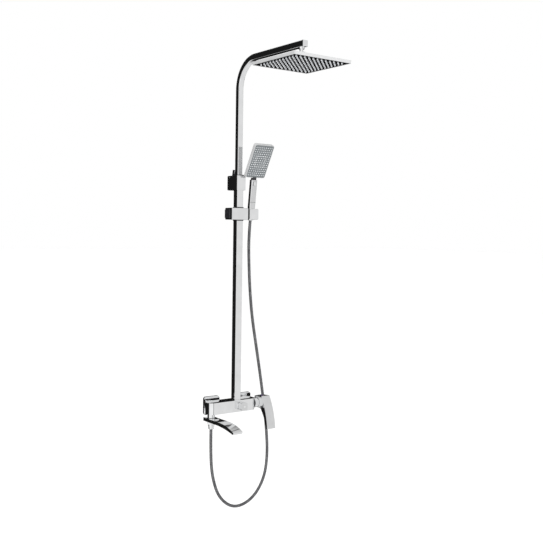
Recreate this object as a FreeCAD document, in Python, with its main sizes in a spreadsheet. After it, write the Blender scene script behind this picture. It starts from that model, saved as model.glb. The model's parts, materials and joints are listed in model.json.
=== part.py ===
import FreeCAD, Part
import math
import os
import re
import Sketcher
from FreeCAD import Placement, Rotation, Vector

# Rainfall shower column. Millimetres. The origin is on the wall, midway between
# the two water inlets; +X runs right along the wall, +Y into it and +Z up.

SIZES = {
    "inlet_spacing": 150, "inlet_radius": 10.45, "inlet_bore": 7, "inlet_length": 15,
    "rosette_side": 72, "rosette_depth": 8, "rosette_wall": 1.5, "rosette_corner": 9,
    "nut_flats": 32, "spigot_radius": 12.7, "channel_radius": 8,
    "riser_x": 10, "riser_gap": 52,
    "body_left": 125, "body_right": 91, "body_depth": 52, "body_height": 46, "body_corner": 20,
    "lower_side": 28, "upper_side": 22, "tube_wall": 1.5, "tube_corner": 2.5, "lower_top": 900,
    "collar_side": 40, "collar_sunk": 48, "collar_height": 57, "plate_depth": 6,
    "upper_sunk": 180, "arm_height": 1354.5, "bend_radius": 110, "arm_reach": 458,
    "stem_back": 18, "head_side": 250, "head_drop": 34, "head_thick": 11, "head_wall": 1.6,
    "crown": 6, "ball_radius": 9, "ball_drop": 36.5, "nozzle_rows": 12, "nozzle_pitch": 18.5,
    "slider_left": 36, "slider_right": 40, "slider_low": 736, "slider_height": 46,
    "slider_back": 30, "slider_depth": 48, "liner_wall": 1.5, "thumb_side": 34, "thumb_proud": 7,
    "holder_gap": 4, "holder_width": 42, "holder_depth": 38, "holder_height": 42, "pivot_clear": 1.4,
    "socket_inset": 18, "handset_y": 64, "handset_lean": 7,
    "cone_top": 12.3, "cone_low": 10.7, "cone_length": 47,
    "grip_width": 26, "grip_depth": 20, "grip_length": 112, "grip_corner": 5,
    "spray_width": 90, "spray_length": 140, "spray_thick": 14, "spray_corner": 8,
    "spray_lean": 29, "neck_show": 12.5, "button_width": 11.8, "button_length": 14.8,
    "hub_radius": 20, "hub_gap": 2, "hub_length": 12, "lever_inset": 7, "lever_width": 40,
    "knob_x": 18, "knob_side": 28, "knob_length": 22.5,
    "outlet_inset": 20, "neck_radius": 10.8, "spout_below": 15.3, "spout_thick": 13, "spout_width": 42,
    "spout_reach": 241, "hose_radius": 6,
    "fit": 0.08, "gap": 0.3,
}

# Places that follow the sizes above, each a formula in the same sheet.
FOLLOWS = {
    "collar_low": "lower_top - collar_sunk",
    "upper_low": "lower_top - upper_sunk",
    "head_reach": "arm_reach - stem_back",
    "ball_height": "arm_height - ball_drop",
    "head_low": "ball_height - head_drop",
    "pivot_start": "riser_x + lower_side / 2 + gap + liner_wall + pivot_clear",
    "handset_x": "slider_right + holder_gap + socket_inset",
    "handset_z": "slider_low + slider_height / 2",
    "spray_start": "cone_length / 2 + grip_length + neck_show",
    "hub_start": "body_right + hub_gap",
    "hub_end": "hub_start + hub_length",
    "lever_start": "hub_end + lever_inset",
    "nipple_radius": "lower_side / 2 - tube_wall - 1",
    "spout_x": "body_left - outlet_inset",
    "spout_top": "body_height / 2 + spout_below",
}

doc = FreeCAD.newDocument("shower_column")
sheet = doc.addObject("Spreadsheet::Sheet", "sizes")
for row, alias in enumerate(list(SIZES) + list(FOLLOWS), start=1):
    sheet.set("A%d" % row, alias)
    sheet.setAlias("B%d" % row, alias)
    if alias in SIZES:
        sheet.set("B%d" % row, str(SIZES[alias]))
doc.recompute()
for row, alias in enumerate(FOLLOWS, start=len(SIZES) + 1):
    sheet.set("B%d" % row, "=" + FOLLOWS[alias])
    doc.recompute()

NODES = []
ALONG = {
    "x": Rotation(Vector(0, 1, 0), 90),
    "y": Rotation(Vector(1, 0, 0), -90),
    "z": Rotation(),
}


def size(alias):
    """A size from the sheet."""
    return float(sheet.get(alias))


def ref(text):
    """An expression in which every size names its cell of the sheet."""
    def cell(word):
        return "sizes." + word[0] if word[0] in SIZES or word[0] in FOLLOWS else word[0]
    return re.sub(r"[a-z_]+", cell, str(text))


def bind(item, **expressions):
    for path, text in expressions.items():
        item.setExpression(path.replace("__", "."), ref(text))


def put(item, at, turn=None):
    """Places an object at three expressions, turned as asked."""
    item.Placement = Placement(Vector(), turn or Rotation())
    bind(item, Placement__Base__x=at[0], Placement__Base__y=at[1], Placement__Base__z=at[2])
    return item


def node(item, label):
    """Marks an object as a finished piece."""
    item.Label = label
    NODES.append(item)
    return item


def box(name, sides, at, turn=None):
    item = doc.addObject("Part::Box", name)
    bind(item, Length=sides[0], Width=sides[1], Height=sides[2])
    return put(item, at, turn)


def rod(name, radius, length, at, along="z"):
    item = doc.addObject("Part::Cylinder", name)
    bind(item, Radius=radius, Height=length)
    return put(item, at, ALONG[along])


def cone(name, low_radius, top_radius, length, at, along="z"):
    item = doc.addObject("Part::Cone", name)
    bind(item, Radius1=low_radius, Radius2=top_radius, Height=length)
    return put(item, at, ALONG[along])


def ball(name, radius, at):
    item = doc.addObject("Part::Sphere", name)
    bind(item, Radius=radius)
    return put(item, at)


def hexagon(name, flats, length, at, along="z"):
    item = doc.addObject("Part::Prism", name)
    item.Polygon = 6
    bind(item, Circumradius="(%s) / sqrt(3)" % flats, Height=length)
    return put(item, at, ALONG[along])


def fuse(name, *items):
    item = doc.addObject("Part::MultiFuse", name)
    item.Shapes = list(items)
    return item


def cut(name, base, *tools):
    item = doc.addObject("Part::Cut", name)
    item.Base = base
    item.Tool = tools[0] if len(tools) == 1 else fuse(name + "_tools", *tools)
    return item


def common(name, base, tool):
    item = doc.addObject("Part::Common", name)
    item.Base = base
    item.Tool = tool
    return item


def group(name, *items):
    """Separate like solids that share one node."""
    item = doc.addObject("Part::Compound", name)
    item.Links = list(items)
    return item


def solid(name, shape):
    item = doc.addObject("Part::Feature", name)
    item.Shape = shape
    return item


def rounded(name, sides, corner, at, turn=None):
    """A block with four rounded edges, centred on its place across and standing on it."""
    body = doc.addObject("PartDesign::Body", name)
    sketch = body.newObject("Sketcher::SketchObject", name + "_outline")
    floor = [plane for plane in body.Origin.OriginFeatures if plane.Role == "XY_Plane"][0]
    sketch.AttachmentSupport = (floor, [""])
    sketch.MapMode = "FlatFace"
    corners = [Vector(-9, -9), Vector(9, -9), Vector(9, 9), Vector(-9, 9)]
    for here, there in zip(corners, corners[1:] + corners[:1]):
        sketch.addGeometry(Part.LineSegment(here, there), False)
    for side in range(4):
        sketch.addConstraint(Sketcher.Constraint("Coincident", side, 2, (side + 1) % 4, 1))
        sketch.addConstraint(Sketcher.Constraint("Vertical" if side % 2 else "Horizontal", side))
    sketch.addConstraint(Sketcher.Constraint("Symmetric", 0, 1, 1, 2, -1, 1))
    across = sketch.addConstraint(Sketcher.Constraint("DistanceX", 0, 1, 0, 2, 18.0))
    deep = sketch.addConstraint(Sketcher.Constraint("DistanceY", 1, 1, 1, 2, 18.0))
    sketch.renameConstraint(across, "across")
    sketch.renameConstraint(deep, "deep")
    bind(sketch, Constraints__across=sides[0], Constraints__deep=sides[1])
    pad = body.newObject("PartDesign::Pad", name + "_pad")
    pad.Profile = sketch
    bind(pad, Length=sides[2])
    doc.recompute()
    upright = []
    for number, edge in enumerate(pad.Shape.Edges, start=1):
        if abs(edge.tangentAt(edge.FirstParameter).z) > 0.99:
            upright.append("Edge%d" % number)
    fillet = body.newObject("PartDesign::Fillet", name + "_rounding")
    fillet.Base = (pad, upright)
    bind(fillet, Radius=corner)
    return put(body, at, turn)


def prism(name, outline, left, width):
    """An outline in the YZ plane, made of points and arcs, drawn out along X."""
    edges = []
    here = Vector(left, *outline[0])
    start = here
    for step in outline[1:] + [outline[0]]:
        there = Vector(left, *step[-2:])
        if len(step) == 4:
            edges.append(Part.Arc(here, Vector(left, *step[:2]), there).toShape())
        else:
            edges.append(Part.LineSegment(here, there).toShape())
        here = there
    assert here.isEqual(start, 1e-6)
    return solid(name, Part.Face(Part.Wire(edges)).extrude(Vector(width, 0, 0)))


def grid(radius, length, rows, columns, pitch, low, upward):
    """Like cylinders on a grid in the local XZ plane or XY plane."""
    pegs = []
    for row in range(rows):
        for column in range(columns):
            across = (column - (columns - 1) / 2) * pitch
            along = (row - (rows - 1) / 2) * pitch
            at = Vector(across, along, low) if upward else Vector(across, low, along)
            pegs.append(Part.makeCylinder(radius, length, at, Vector(0, 0, 1) if upward else Vector(0, 1, 0)))
    return pegs


RISER = ("riser_x", "-riser_gap")


def make_inlets():
    """Eccentric wall unions with their nuts, washers and square rosettes."""
    unions, nuts, washers, rosettes = [], [], [], []
    for side, sign in (("left", "-"), ("right", "")):
        x = sign + "inlet_spacing / 2"
        stud = rod("stud_" + side, "inlet_radius", "inlet_length + 6", (x, "-6", "0"), "y")
        collar = rod("stud_collar_" + side, "spigot_radius - 0.2", "4", (x, "-10", "0"), "y")
        bore = rod("stud_bore_" + side, "inlet_bore", "inlet_length + 30", (x, "-20", "0"), "y")
        unions.append(cut("union_" + side, fuse("union_blank_" + side, stud, collar), bore))
        outer = hexagon("nut_hex_" + side, "nut_flats", "21", (x, "-24.5", "0"), "y")
        thread = rod("nut_thread_" + side, "spigot_radius + fit", "18.8", (x, "-24.6", "0"), "y")
        throat = rod("nut_throat_" + side, "inlet_radius + gap", "30", (x, "-30", "0"), "y")
        nuts.append(cut("nut_" + side, outer, thread, throat))
        disc = rod("washer_disc_" + side, "spigot_radius - 0.3", "1.9", (x, "-11.95", "0"), "y")
        hole = rod("washer_hole_" + side, "inlet_bore", "9", (x, "-15", "0"), "y")
        washers.append(cut("washer_" + side, disc, hole))
        turn = Rotation(Vector(1, 0, 0), 90)
        plate = rounded("rosette_plate_" + side, ("rosette_side", "rosette_side", "rosette_depth"),
                        "rosette_corner", (x, "0", "0"), turn)
        inner = "rosette_side - 2 * rosette_wall"
        hollow = rounded("rosette_hollow_" + side, (inner, inner, "rosette_depth - rosette_wall"),
                         "rosette_corner - rosette_wall", (x, "0.001", "0"), turn)
        mouth = rod("rosette_mouth_" + side, "nut_flats / sqrt(3) + 0.6", "30", (x, "-20", "0"), "y")
        rosettes.append(cut("rosette_" + side, plate, hollow, mouth))
    node(group("unions", *unions), "wall_unions")
    node(group("nuts", *nuts), "union_nuts")
    node(group("washers", *washers), "union_washers")
    node(group("rosettes", *rosettes), "wall_rosettes")


def make_mixer():
    """Mixer body, cartridge, diverter valve and the nipple that carries the riser."""
    middle = "(body_right - body_left) / 2"
    block = rounded("body_block", ("body_left + body_right", "body_depth", "body_height"), "body_corner",
                    (middle, "-riser_gap", "-body_height / 2"))
    back = "-riser_gap + body_depth / 2"
    spigots, tools = [], []
    for side, sign in (("left", "-"), ("right", "")):
        x = sign + "inlet_spacing / 2"
        spigots.append(rod("spigot_" + side, "spigot_radius", "30", (x, back + " - 16", "0"), "y"))
        tools.append(rod("inlet_way_" + side, "channel_radius", "60", (x, "-riser_gap", "0"), "y"))
    tools.append(rod("main_way", "channel_radius", "150", ("-spout_x", "-riser_gap", "0"), "x"))
    tools.append(rod("cartridge_seat", "17", "60", ("body_right - 41", "-riser_gap", "0"), "x"))
    tools.append(rod("diverter_seat", "12", "60", ("knob_x", "-riser_gap - 50", "0"), "y"))
    tools.append(rod("riser_seat", "nipple_radius + 0.1", "30", RISER + ("12",)))
    tools.append(rod("riser_way", "channel_radius", "30", RISER + ("0",)))
    tools.append(rod("neck_seat", "neck_radius + fit", "30",
                     ("-spout_x", "-riser_gap", "-body_height / 2 - 10")))
    node(cut("body_cut", fuse("body_blank", block, *spigots), *tools), "mixer_body")

    nipple = rod("nipple", "nipple_radius", "body_height / 2 + 13", RISER + ("12.1",))
    nipple_way = rod("nipple_way", "channel_radius", "60", RISER + ("0",))
    node(cut("nipple_cut", nipple, nipple_way), "riser_nipple")

    shell = rod("cartridge_shell", "16.9", "37", ("body_right - 40", "-riser_gap", "0"), "x")
    ways = [rod("cartridge_stem_way", "6", "60", ("body_right - 25", "-riser_gap", "0"), "x")]
    for number, height in enumerate(("-9", "9")):
        place = ("body_right - 60", "-riser_gap", height)
        ways.append(rod("cartridge_way_%d" % number, "3", "30", place, "x"))
    node(cut("cartridge_cut", shell, *ways), "cartridge")
    ring = rod("cartridge_ring", "16.9", "4.5", ("body_right - 2.9", "-riser_gap", "0"), "x")
    eye = rod("cartridge_eye", "9", "20", ("body_right - 9", "-riser_gap", "0"), "x")
    node(cut("cartridge_ring_cut", ring, eye), "cartridge_nut")

    front = "-riser_gap - body_depth / 2"
    valve = rod("valve_barrel", "11.9", "33", ("knob_x", front + " + 1", "0"), "y")
    valve_way = rod("valve_way", "4 + fit", "30", ("knob_x", front + " - 9", "0"), "y")
    node(cut("valve_cut", valve, valve_way), "diverter_valve")
    collar = rod("collar_disc", "16", "2", ("knob_x", front + " - 2.05", "0"), "y")
    collar_eye = rod("collar_eye", "4.5", "9", ("knob_x", front + " - 5", "0"), "y")
    node(cut("collar_cut", collar, collar_eye), "diverter_collar")


def make_diverter_knob():
    """Square diverter knob on its stem."""
    front = "-riser_gap - body_depth / 2 - 2.5"
    knob = rounded("knob_block", ("knob_side", "knob_side", "knob_length"), "2.5",
                   ("knob_x", front, "0"), Rotation(Vector(1, 0, 0), 90))
    stem_hole = rod("knob_stem_hole", "4.05", "14", ("knob_x", front + " - 12", "0"), "y")
    cap_seat = rod("knob_cap_seat", "5", "4", ("knob_x", front + " - knob_length - 3", "0"), "y")
    node(cut("knob_cut", knob, stem_hole, cap_seat), "diverter_knob")
    node(rod("stem", "4", "24", ("knob_x", front + " - 11.9", "0"), "y"), "diverter_stem")
    node(rod("cap", "4.9", "1.2", ("knob_x", front + " - knob_length - 0.3", "0"), "y"), "knob_cap")


def make_lever():
    """Domed hub on the cartridge stem, and the broad lever that sits over the dome."""
    axis = ("-riser_gap", "0")
    drum = rod("hub_drum", "hub_radius", "hub_end - hub_start", ("hub_start",) + axis, "x")
    dome = ball("hub_dome", "hub_radius", ("hub_end",) + axis)
    limit = box("hub_limit", ("60", "80", "80"), ("hub_start", "-riser_gap - 40", "-40"))
    stem_way = rod("hub_stem_way", "5.1", "18", ("hub_start - 1",) + axis, "x")
    node(cut("hub_cut", common("hub_blank", fuse("hub_mass", drum, dome), limit), stem_way), "lever_hub")
    node(rod("lever_stem", "5", "42", ("hub_start - 26",) + axis, "x"), "cartridge_stem")

    axis_y = -size("riser_gap")
    outline = [
        (axis_y + 16, 25), (axis_y - 32, 29), (axis_y - 59, -26, axis_y - 75, -97),
        (axis_y - 67, -98), (axis_y - 51, -56, axis_y - 27, -21), (axis_y + 16, -21),
    ]
    blade = prism("lever_blade", outline, size("lever_start"), size("lever_width"))
    socket = ball("lever_socket", "hub_radius + 0.5", ("hub_end",) + axis)
    screw_hole = rod("lever_screw_hole", "2.6", "11", ("lever_start + 20", "-riser_gap", "-22"))
    node(cut("lever_cut", blade, socket, screw_hole), "lever_handle")
    node(rod("lever_screw", "2.5", "8", ("lever_start + 20", "-riser_gap", "-19")), "lever_grub_screw")
    node(rod("lever_disc", "2.5", "1.9", ("lever_start + 20", "-riser_gap", "-21")), "lever_plug")


def make_riser():
    """Lower square tube, wall bracket with its plate, height lock and bushes."""
    turned = RISER + ("body_height / 2 + 0.1",)
    length = "lower_top - body_height / 2 - 0.1"
    inner = "lower_side - 2 * tube_wall"
    outside = rounded("lower_outside", ("lower_side", "lower_side", length), "tube_corner", turned)
    inside = rounded("lower_inside", (inner, inner, length + " + 20"), "tube_corner - tube_wall",
                     RISER + ("body_height / 2 - 5",))
    node(cut("lower_cut", outside, inside), "lower_riser_tube")

    left = "riser_x - collar_side / 2"
    front = "-riser_gap - collar_side / 2"
    depth = "riser_gap + collar_side / 2 - plate_depth"
    block = box("bracket_block", ("collar_side", depth, "collar_height"), (left, front, "collar_low"))
    eye = rounded("bracket_eye", ("lower_side + 0.2", "lower_side + 0.2", "lower_top - collar_low + 10.1"),
                  "tube_corner", RISER + ("collar_low - 10",))
    neck = rounded("bracket_neck", ("upper_side + 0.8", "upper_side + 0.8", "collar_height + 20"),
                   "tube_corner", RISER + ("collar_low - 10",))
    socket = box("bracket_socket", ("collar_side - 10", "15", "collar_height - 25"),
                 (left + " + 5", "-plate_depth - 15 + 0.001", "collar_low + 6"))
    slot = box("bracket_slot", ("18", "16", "20"), ("riser_x - 9", "-26", "collar_low + collar_height - 12"))
    pin_height = "collar_low + collar_height - 6"
    pin_way = rod("bracket_pin_way", "2 + fit", "collar_side + 10", (left + " - 5", "-18", pin_height), "x")
    screw_way = rod("bracket_screw_way", "2.6", "20", ("riser_x", "-13", "collar_low - 13.9"))
    node(cut("bracket_cut", block, eye, neck, socket, slot, pin_way, screw_way), "wall_bracket")

    plate = box("plate_flange", ("collar_side - 4", "plate_depth - 0.1", "collar_height - 4"),
                (left + " + 2", "-plate_depth + 0.1", "collar_low + 2"))
    boss = box("plate_boss", ("collar_side - 10.4", "15", "collar_height - 25.4"),
               (left + " + 5.2", "-plate_depth - 14.8", "collar_low + 6.2"))
    holes = []
    for number, height in enumerate(("14", "32")):
        z = "collar_low + " + height
        holes.append(rod("plate_hole_%d" % number, "2.75", "40", ("riser_x", "-30", z), "y"))
        holes.append(rod("plate_sink_%d" % number, "5", "17", ("riser_x", "-22", z), "y"))
    node(cut("plate_cut", fuse("plate_blank", plate, boss), *holes), "bracket_wall_plate")
    node(rod("bracket_screw", "2.5", "6", ("riser_x", "-13", "collar_low")), "bracket_grub_screw")
    node(rod("lock_pin", "2", "collar_side - 4", (left + " + 2", "-18", pin_height), "x"), "lock_pivot_pin")

    top = "collar_low + collar_height"
    band = rounded("ring_outside", ("collar_side - 6", "collar_side - 6", "3"), "3",
                   RISER + (top + " + 0.05",))
    band_eye = rounded("ring_inside", ("upper_side + 0.6", "upper_side + 0.6", "20"), "tube_corner",
                       RISER + (top + " - 5",))
    node(cut("ring_cut", band, band_eye), "collar_ring")
    bush = rounded("bush_outside", (inner + " - 0.2", inner + " - 0.2", "40"), "tube_corner - tube_wall",
                   RISER + ("lower_top - 42",))
    bush_eye = rounded("bush_inside", ("upper_side + 0.3", "upper_side + 0.3", "60"), "tube_corner",
                       RISER + ("lower_top - 50",))
    node(cut("bush_cut", bush, bush_eye), "guide_bush")


def make_lock_lever():
    """Small lever on the bracket that locks the height of the upper tube."""
    height = "collar_low + collar_height - 6"
    barrel = rod("lock_barrel", "5", "16", ("riser_x - 8", "-18", height), "x")
    lean = Rotation(Vector(1, 0, 0), 12)
    blade = box("lock_blade", ("16", "4", "30"), ("riser_x - 8", "-20", height), lean)
    pin_way = rod("lock_pin_way", "2 + fit", "40", ("riser_x - 20", "-18", height), "x")
    node(cut("lock_cut", fuse("lock_blank", barrel, blade), pin_way), "height_lock_lever")


def arm_solid(side, corner, extra):
    """A square bar that rises, bends through a right angle and runs out from the wall."""
    x, y = size("riser_x"), -size("riser_gap")
    bend, height, reach = size("bend_radius"), size("arm_height"), size("arm_reach")
    low = size("upper_low") - extra
    half = side / 2
    straight = half - corner
    points = [Vector(x - half, y - straight, low), Vector(x - half, y + straight, low),
              Vector(x - straight, y + half, low), Vector(x + straight, y + half, low),
              Vector(x + half, y + straight, low), Vector(x + half, y - straight, low),
              Vector(x + straight, y - half, low), Vector(x - straight, y - half, low)]
    slack = corner * (1 - math.sqrt(0.5))
    edges = []
    for number in range(0, 8, 2):
        here, there, after = points[number], points[number + 1], points[(number + 2) % 8]
        edges.append(Part.LineSegment(here, there).toShape())
        out_x = half - slack if there.x + after.x > 2 * x else slack - half
        out_y = half - slack if there.y + after.y > 2 * y else slack - half
        edges.append(Part.Arc(there, Vector(x + out_x, y + out_y, low), after).toShape())
    section = Part.Face(Part.Wire(edges))
    rise = section.extrude(Vector(0, 0, height - bend - low))
    raised = section.translated(Vector(0, 0, height - bend - low))
    elbow = raised.revolve(Vector(x, y - bend, height - bend), Vector(1, 0, 0), 90)
    turned = raised.rotated(Vector(x, y - bend, height - bend), Vector(1, 0, 0), 90)
    run = turned.extrude(Vector(0, -(reach + extra + y - bend), 0))
    return rise.fuse([elbow, run]).removeSplitter()


def make_upper_arm():
    """Telescoping upper tube with its bend, seals, end cap and ball stem."""
    wall = size("tube_wall")
    side = size("upper_side")
    corner = size("tube_corner")
    bar = solid("arm_bar", arm_solid(side, corner, 0))
    bore = solid("arm_bore", arm_solid(side - 2 * wall, corner - wall, 20))
    stem_hole = rod("arm_stem_hole", "6.6", "16", ("riser_x", "-head_reach", "arm_height - 20"))
    node(cut("arm_cut", bar, bore, stem_hole), "upper_tube")
    inner = "upper_side - 2 * tube_wall - 0.9"
    seal_side = "lower_side - 2 * tube_wall - 0.4"
    seal = rounded("seal_outside", (seal_side, seal_side, "18"), "tube_corner - tube_wall",
                   RISER + ("upper_low + 6",))
    seal_eye = rounded("seal_inside", ("upper_side + 0.1", "upper_side + 0.1", "40"), "tube_corner",
                       RISER + ("upper_low - 5",))
    node(cut("seal_cut", seal, seal_eye), "tube_seal")
    lid = box("cap_lid", ("upper_side", "4", "upper_side"),
              ("riser_x - upper_side / 2", "-arm_reach - 4.05", "arm_height - upper_side / 2"))
    plug = box("cap_plug", (inner, "7", inner),
               ("riser_x - (%s) / 2" % inner, "-arm_reach - 0.1", "arm_height - (%s) / 2" % inner))
    node(fuse("cap_blank", lid, plug), "arm_end_cap")

    place = ("riser_x", "-head_reach")
    shank = rod("stem_shank", "6.5", "arm_height - ball_height - 2", place + ("ball_height",))
    flange = rod("stem_flange", "11", "6", place + ("arm_height - upper_side / 2 - 6.1",))
    knuckle = ball("stem_ball", "ball_radius", place + ("ball_height",))
    stem_way = rod("stem_way", "3.5", "80", place + ("ball_height - 20",))
    node(cut("stem_cut", fuse("stem_blank", shank, flange, knuckle), stem_way), "ball_stem")


def make_ball_seat():
    """Split ring between the ball and the nut of the rain head."""
    place = ("riser_x", "-head_reach")
    outer = ball("seat_outside", "ball_radius + 2", place + ("ball_height",))
    inner = ball("seat_inside", "ball_radius + 0.05", place + ("ball_height",))
    band = rod("seat_band", "ball_radius + 5", "9", place + ("ball_height - 5.5",))
    node(cut("seat_cut", common("seat_blank", outer, band), inner), "ball_seat")


def make_rain_head():
    """Square rain head: crowned shell, nut, gasket, face plate and nozzle mat."""
    place = ("riser_x", "-head_reach")
    top = "head_low + head_thick"
    nut_low = top + " + crown - 0.5"
    nut = rod("head_nut_blank", "14", "ball_height + 9 - (%s)" % nut_low, place + (nut_low,))
    cup = ball("head_nut_cup", "ball_radius + 2.3", place + ("ball_height",))
    mouth = rod("head_nut_mouth", "9.9", "30", place + ("ball_height",))
    drain = rod("head_nut_way", "5", "60", place + ("ball_height - 50",))
    node(cut("head_nut_cut", nut, cup, mouth, drain), "head_nut")

    rim = rounded("head_rim", ("head_side", "head_side", "head_thick"), "3", place + ("head_low",))
    crown = doc.addObject("Part::Wedge", "head_crown")
    bind(crown, Xmin="-head_side / 2", Zmin="-head_side / 2", Xmax="head_side / 2", Zmax="head_side / 2",
         Ymin="0", Ymax="crown", X2min="-16", Z2min="-16", X2max="16", Z2max="16")
    crown.Placement = Placement(Vector(), Rotation(Vector(1, 0, 0), 90))
    bind(crown, Placement__Base__x=place[0], Placement__Base__y=place[1], Placement__Base__z=top)
    inner = "head_side - 2 * head_wall"
    room = rounded("head_room", (inner, inner, "head_thick - head_wall"), "2", place + ("head_low - 0.001",))
    nut_seat = rod("head_nut_seat", "14.1", "30", place + (nut_low + " - 0.05",))
    way = rod("head_way", "5", "60", place + ("head_low",))
    node(cut("head_cut", fuse("head_blank", rim, crown), room, nut_seat, way), "rain_head_shell")

    rows = int(size("nozzle_rows"))
    pitch = size("nozzle_pitch")
    middle = Vector(size("riser_x"), -size("head_reach"), size("head_low"))
    face = rounded("face_blank", (inner + " - 0.4", inner + " - 0.4", "2"), "2", place + ("head_low + 0.6",))
    holes = solid("face_holes", Part.makeCompound(grid(2.8, 9, rows, rows, pitch, -3, True)))
    holes.Placement = Placement(middle, Rotation())
    node(cut("face_cut", face, holes), "rain_head_plate")
    span = size("head_side") - 2 * size("head_wall") - 12
    mat = Part.makeBox(span, span, 1.5, Vector(-span / 2, -span / 2, 2.7))
    mat = mat.fuse(grid(2.5, 6.3, rows, rows, pitch, -2.6, True))
    mat = mat.cut(Part.makeCompound(grid(0.7, 9, rows, rows, pitch, -3, True)))
    nozzles = solid("nozzles", mat)
    nozzles.Placement = Placement(middle, Rotation())
    node(nozzles, "rain_nozzle_mat")
    seal = rounded("gasket_outside", (inner + " - 1", inner + " - 1", "2"), "2", place + ("head_low + 2.7",))
    seal_eye = rounded("gasket_inside", (inner + " - 10", inner + " - 10", "9"), "2", place + ("head_low",))
    node(cut("gasket_cut", seal, seal_eye), "head_gasket")


def make_slider():
    """Slider on the lower tube with its liner, thumb button, spring and holder pivot."""
    width = "slider_left + slider_right"
    middle_y = "-slider_back - slider_depth / 2"
    middle_z = "slider_low + slider_height / 2"
    block = rounded("slider_block", ("slider_height", "slider_depth", width), "3",
                    ("-slider_left", middle_y, middle_z), ALONG["x"])
    clear = "lower_side + 2 * gap + 2 * liner_wall"
    eye = rounded("slider_eye", (clear + " + 0.1", clear + " + 0.1", "80"), "tube_corner",
                  RISER + ("slider_low - 10",))
    well = rod("slider_well", "7.3", "14", ("-slider_left - 1", middle_y, middle_z), "x")
    pivot_way = rod("slider_pivot_way", "6.05", "slider_right",
                    ("pivot_start - 0.1", "-riser_gap - 6", middle_z), "x")
    node(cut("slider_cut", block, eye, well, pivot_way), "slider_body")
    liner = rounded("liner_outside", (clear, clear, "slider_height + 8"), "tube_corner",
                    RISER + ("slider_low - 4",))
    liner_eye = rounded("liner_inside", ("lower_side + 2 * gap", "lower_side + 2 * gap", "80"), "tube_corner",
                        RISER + ("slider_low - 10",))
    node(cut("liner_cut", liner, liner_eye), "slider_liner")
    pivot_length = "slider_right + holder_gap + 4.7 - pivot_start"
    pin = rod("pivot", "6", pivot_length, ("pivot_start", "-riser_gap - 6", middle_z), "x")
    node(pin, "holder_pivot_pin")
    coil = rod("spring_outside", "4.6", "5", ("-slider_left + 7.9", middle_y, middle_z), "x")
    coil_eye = rod("spring_inside", "3.4", "9", ("-slider_left + 6", middle_y, middle_z), "x")
    node(cut("spring_cut", coil, coil_eye), "button_spring")

    pad = rounded("thumb_pad", ("thumb_side", "thumb_side", "thumb_proud - 3"), "4",
                  ("-slider_left - thumb_proud", middle_y, middle_z), ALONG["x"])
    peg = rod("thumb_peg", "7", "thumb_proud + 7",
              ("-slider_left - thumb_proud + 0.8", middle_y, middle_z), "x")
    node(fuse("thumb_blank", pad, peg), "slider_button")


def make_holder():
    """Tilting holder with a tapered socket for the hand shower."""
    left = "slider_right + holder_gap"
    middle_z = "slider_low + slider_height / 2"
    block = rounded("holder_block", ("holder_height", "holder_depth", "holder_width"), "5",
                    (left, "-handset_y", middle_z), ALONG["x"])
    pivot_way = rod("holder_pivot_way", "6.05", "5.5", (left + " - 0.1", "-riser_gap - 6", middle_z), "x")
    taper = doc.addObject("Part::Cone", "holder_taper")
    bind(taper, Radius1="cone_low + 0.35 - 0.2", Radius2="cone_top + 0.35 + 0.2", Height="cone_length + 10")
    lean = Rotation(Vector(1, 0, 0), size("handset_lean"))
    taper.Placement = Placement(grip_point(-5 - size("cone_length") / 2), lean)
    node(cut("holder_cut", block, pivot_way, taper), "handset_holder")


def grip_point(along):
    """A point on the axis of the hand shower's grip."""
    lean = math.radians(size("handset_lean"))
    return Vector(size("handset_x"), -size("handset_y") - along * math.sin(lean),
                  size("handset_z") + along * math.cos(lean))


def seat(item, along, lean_name):
    """Stands a piece, made upright at zero, at its height on the leaning hand shower."""
    item.Placement = Placement(grip_point(along), Rotation(Vector(1, 0, 0), size(lean_name)))
    return item


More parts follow.
